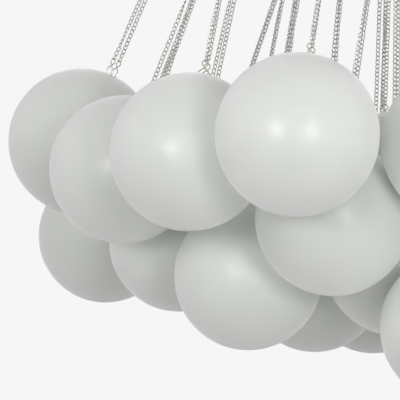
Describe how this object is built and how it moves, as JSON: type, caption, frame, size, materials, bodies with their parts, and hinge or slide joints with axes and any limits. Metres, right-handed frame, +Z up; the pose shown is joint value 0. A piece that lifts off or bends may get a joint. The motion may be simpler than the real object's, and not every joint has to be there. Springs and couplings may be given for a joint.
{
  "type": "cluster chandelier",
  "caption": "Cluster chandelier: frosted glass globes of one size hung in a tight bunch on pairs of fine chains from a flat round canopy",
  "frame": {"origin": "centre of the ceiling plate's upper face, in the plane of the ceiling", "axes": "+Z up out of the ceiling plate into the ceiling, +X to the right and +Y away from the viewer in the picture's view"},
  "size_m": [1.1305, 1.143, 0.9585],
  "materials": {
    "frosted_glass": "satin frosted blown glass",
    "nickel_wire": "nickel-plated steel wire",
    "nickel_plate": "satin nickel-plated steel",
    "zinc_steel": "zinc-plated steel",
    "white_plastic": "white thermoset plastic",
    "bulb_glass": "opal lamp glass",
    "block_plastic": "natural polyamide"
  },
  "bodies": {
    "canopy": {"ceiling_plate": "zinc_steel", "mounting_studs": "zinc_steel", "canopy_plate": "nickel_plate", "canopy_skirt": "nickel_plate", "cap_nuts": "nickel_plate", "chain_hooks": "nickel_wire", "lamp_holders": "white_plastic", "bulbs": "bulb_glass", "terminal_block": "block_plastic", "inner_chains": "nickel_wire", "globe_07": "frosted_glass", "globe_08": "frosted_glass", "globe_09": "frosted_glass", "globe_10": "frosted_glass", "globe_11": "frosted_glass", "globe_12": "frosted_glass", "globe_19": "frosted_glass", "globe_20": "frosted_glass", "globe_21": "frosted_glass", "globe_22": "frosted_glass", "globe_26": "frosted_glass", "globe_27": "frosted_glass", "globe_28": "frosted_glass", "globe_29": "frosted_glass", "globe_30": "frosted_glass", "globe_31": "frosted_glass", "globe_32": "frosted_glass", "globe_33": "frosted_glass"},
    "hanging_01": {"globe_01": "frosted_glass", "chains_01": "nickel_wire"},
    "hanging_02": {"globe_02": "frosted_glass", "chains_02": "nickel_wire"},
    "hanging_03": {"globe_03": "frosted_glass", "chains_03": "nickel_wire"},
    "hanging_04": {"globe_04": "frosted_glass", "chains_04": "nickel_wire"},
    "hanging_05": {"globe_05": "frosted_glass", "chains_05": "nickel_wire"},
    "hanging_06": {"globe_06": "frosted_glass", "chains_06": "nickel_wire"},
    "hanging_13": {"globe_13": "frosted_glass", "chains_13": "nickel_wire"},
    "hanging_14": {"globe_14": "frosted_glass", "chains_14": "nickel_wire"},
    "hanging_15": {"globe_15": "frosted_glass", "chains_15": "nickel_wire"},
    "hanging_16": {"globe_16": "frosted_glass", "chains_16": "nickel_wire"},
    "hanging_17": {"globe_17": "frosted_glass", "chains_17": "nickel_wire"},
    "hanging_18": {"globe_18": "frosted_glass", "chains_18": "nickel_wire"},
    "hanging_23": {"globe_23": "frosted_glass", "chains_23": "nickel_wire"},
    "hanging_24": {"globe_24": "frosted_glass", "chains_24": "nickel_wire"},
    "hanging_25": {"globe_25": "frosted_glass", "chains_25": "nickel_wire"}
  },
  "joints": [
    {"name": "swing_01", "type": "hinge", "parent": "canopy", "child": "hanging_01", "pos_m": [-0.224, 0.024, -0.062], "axis": [0.0954, 0.9954, 0], "range_deg": [0, 12]},
    {"name": "swing_02", "type": "hinge", "parent": "canopy", "child": "hanging_02", "pos_m": [-0.16, -0.076, -0.062], "axis": [-0.3445, 0.9388, 0], "range_deg": [0, 12]},
    {"name": "swing_03", "type": "hinge", "parent": "canopy", "child": "hanging_03", "pos_m": [-0.178, -0.164, -0.062], "axis": [-0.597, 0.8022, 0], "range_deg": [0, 12]},
    {"name": "swing_04", "type": "hinge", "parent": "canopy", "child": "hanging_04", "pos_m": [-0.054, -0.234, -0.062], "axis": [-0.9514, 0.3078, 0], "range_deg": [0, 12]},
    {"name": "swing_05", "type": "hinge", "parent": "canopy", "child": "hanging_05", "pos_m": [0.032, -0.186, -0.062], "axis": [-0.99, 0.1408, 0], "range_deg": [0, 4]},
    {"name": "swing_06", "type": "hinge", "parent": "canopy", "child": "hanging_06", "pos_m": [-0.184, 0.094, -0.062], "axis": [0.3868, 0.9222, 0], "range_deg": [0, 12]},
    {"name": "swing_13", "type": "hinge", "parent": "canopy", "child": "hanging_13", "pos_m": [0.024, -0.11, -0.062], "axis": [-1, -0.0086, 0], "range_deg": [0, 3]},
    {"name": "swing_14", "type": "hinge", "parent": "canopy", "child": "hanging_14", "pos_m": [-0.02, 0.19, -0.062], "axis": [0.9113, 0.4117, 0], "range_deg": [0, 12]},
    {"name": "swing_15", "type": "hinge", "parent": "canopy", "child": "hanging_15", "pos_m": [0.236, -0.024, -0.062], "axis": [-0.1004, -0.995, 0], "range_deg": [0, 12]},
    {"name": "swing_16", "type": "hinge", "parent": "canopy", "child": "hanging_16", "pos_m": [0.184, 0.076, -0.062], "axis": [0.3771, -0.9262, 0], "range_deg": [0, 12]},
    {"name": "swing_17", "type": "hinge", "parent": "canopy", "child": "hanging_17", "pos_m": [0.146, 0.168, -0.062], "axis": [0.7602, -0.6497, 0], "range_deg": [0, 12]},
    {"name": "swing_18", "type": "hinge", "parent": "canopy", "child": "hanging_18", "pos_m": [0.068, 0.236, -0.062], "axis": [0.9597, -0.2811, 0], "range_deg": [0, 12]},
    {"name": "swing_23", "type": "hinge", "parent": "canopy", "child": "hanging_23", "pos_m": [0.13, -0.21, -0.062], "axis": [-0.8464, -0.5326, 0], "range_deg": [0, 12]},
    {"name": "swing_24", "type": "hinge", "parent": "canopy", "child": "hanging_24", "pos_m": [0.202, -0.138, -0.062], "axis": [-0.5685, -0.8227, 0], "range_deg": [0, 12]},
    {"name": "swing_25", "type": "hinge", "parent": "canopy", "child": "hanging_25", "pos_m": [-0.122, 0.174, -0.062], "axis": [0.8194, 0.5732, 0], "range_deg": [0, 12]}
  ]
}
